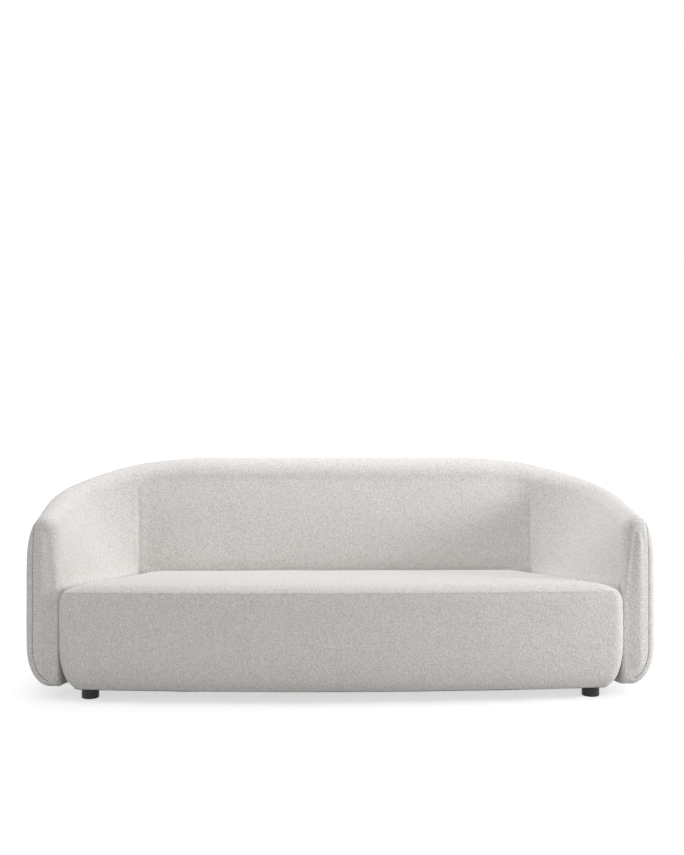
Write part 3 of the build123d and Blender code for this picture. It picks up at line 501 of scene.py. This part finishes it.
boucle_surface = add(boucle, "ShaderNodeBsdfPrincipled",
                     values={"Roughness": 0.95, "IOR": 1.45, "Specular IOR Level": 0.2,
                             "Sheen Weight": 0.12, "Sheen Roughness": 0.6},
                     links={"Base Color": (boucle_tone_with_painted_shade, "Color"),
                            "Normal": (boucle_relief, "Normal")})
add(boucle, "ShaderNodeOutputMaterial", links={"Surface": (boucle_surface, "BSDF")})

shell = piece_from(shell_mesh, "shell_upholstery", boucle)
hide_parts("inside_back_cover", "outside_back_cover", "back_foam",
            *[f"{part}_{side}" for part in ("inside_arm_cover", "outside_arm_cover", "arm_foam")
              for side in ("left", "right")])
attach(shell, "sofa")


# Seam stitching on the shell.
# One row of polyester thread closes the seam, in stitches about 6 mm long
# drawn down into the groove between the two panels; its dark grey-brown is painted shade, the groove's
# shadow line.

# Spun polyester: dull, with a faint twist, drawn coarser than real so that it shows; its dark tone is
# painted shade for the seam groove.
TWIST_MM = 2.0
thread = material_named("polyester_thread_painted_shade")
thread_place = add(thread, "ShaderNodeTexCoord")
thread_ply = add(thread, "ShaderNodeTexNoise", values={"Scale": 1000 / TWIST_MM, "Detail": 2.0},
                 links={"Vector": (thread_place, "Object")})
# Dark grey-brown tone: painted shade standing for the seam groove's shadow line.
thread_painted_shade_tone = add(thread, "ShaderNodeValToRGB", links={"Fac": (thread_ply, "Fac")},
                  stops=[(0.3, "#5F5A56"), (0.7, "#7E7873")])
thread_surface = add(thread, "ShaderNodeBsdfPrincipled",
                     values={"Roughness": 0.6, "Sheen Weight": 0.1},
                     links={"Base Color": (thread_painted_shade_tone, "Color")})
add(thread, "ShaderNodeOutputMaterial", links={"Surface": (thread_surface, "BSDF")})

THREAD_RADIUS = 0.0011
STITCH, STITCH_GAP = 0.0065, 0.0025
# How far the path and the stitches on it stand off the cover.
PATH_LIFT, STITCH_LIFT = THREAD_RADIUS * 0.3, THREAD_RADIUS * 0.4
# Place along a stitch and the thread's thickness there, thin where it dives in.
STITCH_SHAPE = ((-0.5, 0.35), (-0.32, 0.95), (0.0, 1.0), (0.32, 0.95), (0.5, 0.35))
THREAD_SIDES = 6

cover_tree = BVHTree.FromObject(shell, bpy.context.evaluated_depsgraph_get())
seam_path = []
for point in seam_line:
    spot, normal = cover_tree.find_nearest(point)[:2]
    seam_path.append(spot + normal * PATH_LIFT)


def along_path(path, step):
    """Points and directions every step along a path."""
    made = []
    left = 0.0
    for first, second in zip(path, path[1:]):
        long = (second - first).length
        if long < 1e-6:
            continue
        way = (second - first) / long
        while left <= long:
            made.append((first + way * left, way))
            left += step
        left -= long
    return made


thread_mesh = bmesh.new()
for spot, way in along_path(seam_path, STITCH + STITCH_GAP):
    on_cover, normal = cover_tree.find_nearest(spot)[:2]
    spot = on_cover + normal * STITCH_LIFT
    up = way.orthogonal().normalized()
    over = way.cross(up)
    loops = []
    for share, wide in STITCH_SHAPE:
        middle = spot + way * STITCH * share
        loop = []
        for k in range(THREAD_SIDES):
            turn = 2 * pi * k / THREAD_SIDES
            out = (up * cos(turn) + over * sin(turn)) * THREAD_RADIUS * wide
            loop.append(thread_mesh.verts.new(middle + out))
        loops.append(loop)
    join_rings(thread_mesh, loops)
    thread_mesh.faces.new(loops[0][::-1])
    thread_mesh.faces.new(loops[-1])
# The stitches' object, dark as painted shade along the seam groove.
stitches = piece_from(thread_mesh, "seam_stitching_painted_shade", thread)
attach(stitches, "sofa")


# Seat block upholstery.
# One deep tight-covered bench: bowed front, rounded top edges and corners, drawn
# in towards the underside where the cover is stapled to the seat frame.

SEAT_TOP, SEAT_SHOULDER = 0.405, 0.340
SEAT_SEAM, SEAM_DRAW, SEAM_MARGIN = 0.375, 0.107, 0.003
# Height from the seam, and how far the cover is drawn in there.
SEAM_GROOVE = ((-0.0012, 0.0018), (0.0, 0.0026), (0.0012, 0.0018))
SEAT_GAP = 0.003
SEAT_FRONT, FRONT_BOW = -0.480, 8.5
SEAT_TILT = radians(4)
FRONT_CORNER, BACK_CORNER, LEAST_CORNER = 0.046, 0.062, 0.040
UNDER_FRONT, UNDER_SIDE, UNDER_BACK, UNDER_RISE = 0.026, 0.036, 0.010, 0.170
EDGE_FRONT, EDGE_SIDE, EDGE_BACK = 0.065, 0.100, 0.034
SEAT_CROWN = 0.009
SEAT_WAVES, SEAT_WAVE_START = 8.0, Vector((3, 5, 7))
SEAT_MIDDLE, MIDDLE_LINE = -0.130, 0.86


def bow_line(x, inset):
    """The bowed front edge, drawn in by an inset."""
    return SEAT_FRONT + inset + FRONT_BOW - sqrt(FRONT_BOW ** 2 - x * x)


def rounded(corner, first, second, radius, turn, steps):
    """Points of a soft corner between the two edge directions."""
    reach = radius * tan(turn / 2)
    start = (corner[0] - first[0] * reach, corner[1] - first[1] * reach)
    stop = (corner[0] + second[0] * reach, corner[1] + second[1] * reach)
    hold = radius * 4 / 3 * tan(turn / 4)
    pull = (start[0] + first[0] * hold, start[1] + first[1] * hold)
    push = (stop[0] - second[0] * hold, stop[1] - second[1] * hold)
    points = []
    for k in range(steps + 1):
        t = k / steps
        a, b, c, d = (1 - t) ** 3, 3 * t * (1 - t) ** 2, 3 * t * t * (1 - t), t ** 3
        points.append((a * start[0] + b * pull[0] + c * push[0] + d * stop[0],
                       a * start[1] + b * pull[1] + c * push[1] + d * stop[1]))
    return points


def seat_outline(front, side, back, front_corner, back_corner):
    """The seat's plan outline, closed, drawn in at its front, sides and back."""
    slope = atan(ARM_SPREAD)
    along = (-sin(slope), cos(slope))
    off = (SEAT_GAP + side) / cos(slope)
    # The front corner lies on the bow and on the side line; a few rounds bring it there.
    x = arm_inner(SEAT_FRONT) - off
    for k in range(6):
        y = bow_line(x, front)
        x = arm_inner(y) - off
    lift = atan(x / FRONT_BOW)
    going = (cos(lift), sin(lift))
    bend = rounded((x, y), going, along, front_corner, pi / 2 + slope - lift, 20)
    end_y = INSIDE_BACK - SEAT_GAP - back
    tail = rounded((arm_inner(end_y) - off, end_y), along, (-1.0, 0.0), back_corner,
                   pi / 2 - slope, 14)
    half = [(bend[0][0] * k / 90, bow_line(bend[0][0] * k / 90, front)) for k in range(90)]
    half += bend
    half += [(mix(bend[-1][0], tail[0][0], k / 44), mix(bend[-1][1], tail[0][1], k / 44))
             for k in range(1, 44)]
    half += tail
    half += [(tail[-1][0] * (1 - k / 70), end_y) for k in range(1, 71)]
    return half + [(-x, y) for x, y in half[-2:0:-1]]


def tipped(x, y, height):
    """The seat leans back about its front edge, more towards its top."""
    tip = SEAT_TILT * (height - UNDERSIDE) / (SEAT_TOP - UNDERSIDE)
    ahead = y - SEAT_FRONT
    return Vector((x, SEAT_FRONT + ahead * cos(tip), height - ahead * sin(tip)))


# Each level is its rise above the underside, and the draw at its front, sides and back.
levels = [(0.0, 0.040, 0.050, 0.024), (0.001, 0.031, 0.041, 0.015), (0.005, 0.027, 0.0365, 0.011)]
for k in range(2, 21):
    rise = (SEAT_SHOULDER - UNDERSIDE) * k / 21
    left_over = max(1 - rise / UNDER_RISE, 0.0)
    levels.append((rise, UNDER_FRONT * left_over ** 3.1, UNDER_SIDE * left_over ** 2.6,
                   UNDER_BACK * left_over ** 3))
# The front and side panels stand nearly upright up to a seam, from which the top
# panel rolls over onto the seat; the seam itself is drawn in a little.
edge_levels = []
for k in range(7):
    share = k / 6
    edge_levels.append((mix(SEAT_SHOULDER, SEAT_SEAM - SEAM_MARGIN, share), SEAM_DRAW * share ** 1.6, 0.0))
for step, dip in SEAM_GROOVE:
    edge_levels.append((SEAT_SEAM + step, SEAM_DRAW, dip))
for k in range(1, 13):
    share = k / 13
    edge_levels.append((SEAT_SEAM + (SEAT_TOP - SEAT_SEAM) * sin(pi / 2 * share),
                        mix(SEAM_DRAW, 1.0, share ** 1.25), 0.0))
for height, full, dip in edge_levels:
    levels.append((height - UNDERSIDE, EDGE_FRONT * full + dip, EDGE_SIDE * full + dip,
                   EDGE_BACK * full + dip))
# The top crowns towards the middle of the seat.
for draw, rise in ((0.0, 0.0), (0.020, 0.18), (0.040, 0.33), (0.062, 0.48), (0.085, 0.62),
                   (0.112, 0.75), (0.140, 0.86), (0.170, 0.94), (0.200, 1.0)):
    levels.append((SEAT_TOP - UNDERSIDE + SEAT_CROWN * rise, EDGE_FRONT + draw, EDGE_SIDE + draw,
                   EDGE_BACK + draw))

seat_mesh = bmesh.new()
seat_rings = []
for rise, front, side, back in levels:
    loop = seat_outline(front, side, back, max(FRONT_CORNER - 0.6 * front, LEAST_CORNER),
                        max(BACK_CORNER - 0.5 * back, LEAST_CORNER))
    seat_rings.append([tipped(x, y, UNDERSIDE + rise) for x, y in loop])
# Inside the last level the top is flat, closed along a line through its middle.
inner_ring = seat_rings[-1]
for k in range(1, 9):
    ring = []
    for p in inner_ring:
        target = Vector((p.x * MIDDLE_LINE, SEAT_MIDDLE, 0.0))
        spot = p.lerp(target, k / 8)
        ring.append(Vector((spot.x, spot.y, p.z + (spot.y - p.y) * -tan(SEAT_TILT))))
    seat_rings.append(ring)
seat_verts = [[seat_mesh.verts.new(p) for p in ring] for ring in seat_rings]
join_rings(seat_mesh, seat_verts)
seat_mesh.faces.new(seat_verts[0][::-1])
close_seams(seat_mesh, 0.0004)
moves = [vert.normal * (SKIN + UNEVEN * noise.noise(vert.co * SEAT_WAVES + SEAT_WAVE_START))
         for vert in seat_mesh.verts]
for vert, move in zip(seat_mesh.verts, moves):
    vert.co -= move

seat = piece_from(seat_mesh, "seat_upholstery", boucle)
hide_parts("seat_cover", "seat_foam_core", "seat_border_foam", "seat_insulator_felt")
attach(seat, "sofa")


# Feet.
# Short cylinders of satin black moulded plastic on steel studs,
# screwed up into tee nuts in the foot plates.

# Moulded polypropylene: near black and half dull, its fine grain drawn coarse enough to show.
MOULD_GRAIN_MM = 1.5
foot_plastic = material_named("satin_black_plastic")
foot_place = add(foot_plastic, "ShaderNodeTexCoord")
foot_grain = add(foot_plastic, "ShaderNodeTexNoise",
                 values={"Scale": 1000 / MOULD_GRAIN_MM, "Detail": 3.0},
                 links={"Vector": (foot_place, "Object")})
foot_tone = add(foot_plastic, "ShaderNodeValToRGB", links={"Fac": (foot_grain, "Fac")},
                stops=[(0.3, "#151416"), (0.7, "#222124")])
foot_dull = add(foot_plastic, "ShaderNodeMapRange", values={"To Min": 0.34, "To Max": 0.52},
                links={"Value": (foot_grain, "Fac")})
foot_relief = add(foot_plastic, "ShaderNodeBump", values={"Strength": 0.12, "Distance": 0.0003},
                  links={"Height": (foot_grain, "Fac")})
foot_surface = add(foot_plastic, "ShaderNodeBsdfPrincipled", values={"IOR": 1.46},
                   links={"Base Color": (foot_tone, "Color"), "Roughness": (foot_dull, "Result"),
                          "Normal": (foot_relief, "Normal")})
add(foot_plastic, "ShaderNodeOutputMaterial", links={"Surface": (foot_surface, "BSDF")})
finish([name for name in nodes if name.startswith(("foot_front", "foot_rear"))], foot_plastic)


# Dust covers under the seat and the shell.
# Thin black spunbonded cloth stapled flat across the undersides.

# Spunbonded polypropylene: dull black, a web of bonded fibres drawn coarse enough to show.
WEB_MM = 3.0
dust_cloth = material_named("black_spunbond_cloth")
dust_place = add(dust_cloth, "ShaderNodeTexCoord")
dust_web = add(dust_cloth, "ShaderNodeTexVoronoi", {"feature": "DISTANCE_TO_EDGE"},
               {"Scale": 1000 / WEB_MM}, {"Vector": (dust_place, "Object")})
dust_tone = add(dust_cloth, "ShaderNodeValToRGB", links={"Fac": (dust_web, "Distance")},
                stops=[(0.0, "#34343A"), (0.25, "#1E1E21")])
dust_relief = add(dust_cloth, "ShaderNodeBump", values={"Strength": 0.3, "Distance": 0.0004},
                  links={"Height": (dust_web, "Distance")})
dust_surface = add(dust_cloth, "ShaderNodeBsdfPrincipled", values={"Roughness": 0.9},
                   links={"Base Color": (dust_tone, "Color"), "Normal": (dust_relief, "Normal")})
add(dust_cloth, "ShaderNodeOutputMaterial", links={"Surface": (dust_surface, "BSDF")})


def dust_sheet(mesh, name, node):
    """A stretched sheet in place of the CAD cover."""
    made = piece_from(mesh, name, dust_cloth)
    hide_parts(node)
    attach(made, "sofa")


CLOTH_LIFT, SAG, SAG_WAVES = 0.0008, 0.0006, 14


def lifted(x, y, low):
    """Cloth between staples: a shallow sag up and down of about a millimetre."""
    sag = SAG * noise.noise(Vector((x * SAG_WAVES, y * SAG_WAVES, 0.0)))
    return Vector((x, y, low + CLOTH_LIFT + sag))


dust_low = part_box("seat_dust_cover")[0][2]
# The seat's cloth lies within the turned-in cover, drawn in at its front, sides and back.
DUST_DRAW, DUST_CORNERS, DUST_LINE = (0.032, 0.042, 0.016), (0.036, 0.053), 0.8
seat_dust = bmesh.new()
edge = seat_outline(*DUST_DRAW, *DUST_CORNERS)
dust_rings = []
for k in range(9):
    share = k / 8
    spots = [lifted(mix(x, x * DUST_LINE, share), mix(y, SEAT_MIDDLE, share), dust_low)
             for x, y in edge]
    dust_rings.append([seat_dust.verts.new(spot) for spot in spots])
join_rings(seat_dust, dust_rings)
bmesh.ops.remove_doubles(seat_dust, verts=seat_dust.verts, dist=0.0003)
dust_sheet(seat_dust, "seat_dust_cloth", "seat_dust_cover")

# The shell's is cut as one long band that follows the shell round.
BAND_STEPS, BAND_CLEAR = 8, 0.001
shell_dust = bmesh.new()
strips = []
for sign, group in ((-1, side_stations[:0:-1]), (1, side_stations)):
    for station in group:
        outer, inner, run = station[:3]
        thick, across = through_wall(outer, inner)
        first, last = Wall(run).bottom + BAND_CLEAR, thick - UNDER_EDGE - BAND_CLEAR
        row = []
        for k in range(BAND_STEPS + 1):
            u = mix(first, last, k / BAND_STEPS)
            spot = lifted(sign * (outer[0] + across[0] * u), outer[1] + across[1] * u, dust_low)
            row.append(shell_dust.verts.new(spot))
        strips.append(row)
for first, second in zip(strips, strips[1:]):
    for k in range(BAND_STEPS):
        shell_dust.faces.new((first[k], first[k + 1], second[k + 1], second[k]))
dust_sheet(shell_dust, "shell_dust_cloth", "shell_dust_cover")


# Stage: a plain pale floor, soft studio light and the camera.
# A low key from the right, a weak fill from the left and a long strip overhead;
# floor and surroundings show white to the camera without lighting the sofa more.

# Matt pale paint: no gleam, so only the soft shadows under the sofa show on it.
floor_paint = material_named("pale_floor")
floor_ray = add(floor_paint, "ShaderNodeLightPath")
floor_surface = add(floor_paint, "ShaderNodeBsdfDiffuse", values={"Color": colour("#DADADA")})
floor_eye = add(floor_paint, "ShaderNodeMath", {"operation": "MAXIMUM"},
                links={0: (floor_ray, "Is Camera Ray"), 1: (floor_ray, "Is Glossy Ray")})
floor_sees = add(floor_paint, "ShaderNodeMath", {"operation": "MAXIMUM"},
                 links={0: (floor_eye, "Value"), 1: (floor_ray, "Is Transmission Ray")})
floor_place = add(floor_paint, "ShaderNodeTexCoord")
floor_far = add(floor_paint, "ShaderNodeVectorMath", {"operation": "LENGTH"},
                links={"Vector": (floor_place, "Object")})
# Further from the sofa the floor is lifted more, so that it stays one even white.
floor_even = add(floor_paint, "ShaderNodeMapRange",
                 values={"From Min": 1.3, "From Max": 4.0, "To Min": 0.63, "To Max": 1.0},
                 links={"Value": (floor_far, "Value")})
floor_level = add(floor_paint, "ShaderNodeMath", {"operation": "MULTIPLY"},
                  links={0: (floor_even, "Result"), 1: (floor_sees, "Value")})
floor_lift = add(floor_paint, "ShaderNodeEmission", values={"Color": (1.0, 1.0, 1.0, 1.0)},
                 links={"Strength": (floor_level, "Value")})
floor_share = add(floor_paint, "ShaderNodeAddShader",
                  links={0: (floor_surface, "BSDF"), 1: (floor_lift, "Emission")})
add(floor_paint, "ShaderNodeOutputMaterial", links={"Surface": (floor_share, "Shader")})
floor_mesh = bmesh.new()
bmesh.ops.create_grid(floor_mesh, x_segments=1, y_segments=1, size=30.0)
floor = piece_from(floor_mesh, "floor", floor_paint)

world = bpy.data.worlds.new("studio")
bpy.context.scene.world = world
world.use_nodes = True
world.node_tree.nodes.clear()
world_ray = add(world, "ShaderNodeLightPath")
world_eye = add(world, "ShaderNodeMath", {"operation": "MAXIMUM"},
                links={0: (world_ray, "Is Camera Ray"), 1: (world_ray, "Is Glossy Ray")})
world_sees = add(world, "ShaderNodeMath", {"operation": "MAXIMUM"},
                 links={0: (world_eye, "Value"), 1: (world_ray, "Is Transmission Ray")})
world_level = add(world, "ShaderNodeMapRange", values={"To Min": 0.465, "To Max": 1.0},
                  links={"Value": (world_sees, "Value")})
world_light = add(world, "ShaderNodeBackground", values={"Color": (1.0, 1.0, 1.0, 1.0)},
                  links={"Strength": (world_level, "Result")})
add(world, "ShaderNodeOutputWorld", links={"Surface": (world_light, "Background")})


def soft_light(name, place, aim, width, height, power):
    """An area light at a place, aimed at a point; sizes in metres, power in watts."""
    data = bpy.data.lights.new(name, "AREA")
    data.shape = "RECTANGLE"
    data.size, data.size_y = width, height
    data.energy = power
    made = bpy.data.objects.new(name, data)
    bpy.context.scene.collection.objects.link(made)
    made.location = place
    made.rotation_euler = (Vector(aim) - Vector(place)).to_track_quat("-Z", "Y").to_euler()


soft_light("key", (3.3, -1.2, 1.15), (0.0, -0.1, 0.4), 0.6, 0.6, 42)
soft_light("left_fill", (-2.4, -2.8, 1.0), (0.0, -0.1, 0.4), 0.8, 0.8, 6.5)
soft_light("overhead", (0.0, 0.5, 2.6), (0.0, -0.1, 0.3), 3.0, 0.6, 33)

# The picture is 855 pixels tall; the focal length and the shift are in those pixels.
PICTURE_TALL, FOCAL_PIXELS, SHIFT_PIXELS = 855, 1176, (32.0, -35.5)
lens = bpy.data.cameras.new("camera")
lens.sensor_fit = "VERTICAL"
lens.sensor_height = 36.0
lens.lens = lens.sensor_height * FOCAL_PIXELS / PICTURE_TALL
lens.shift_x, lens.shift_y = (shift / PICTURE_TALL for shift in SHIFT_PIXELS)
camera = bpy.data.objects.new("camera", lens)
camera.location = (-0.180, -4.391, 1.050)
camera.rotation_euler = (radians(90), 0.0, radians(-1.01))
bpy.context.scene.collection.objects.link(camera)
bpy.context.scene.camera = camera
bpy.context.scene.view_settings.view_transform = "Standard"
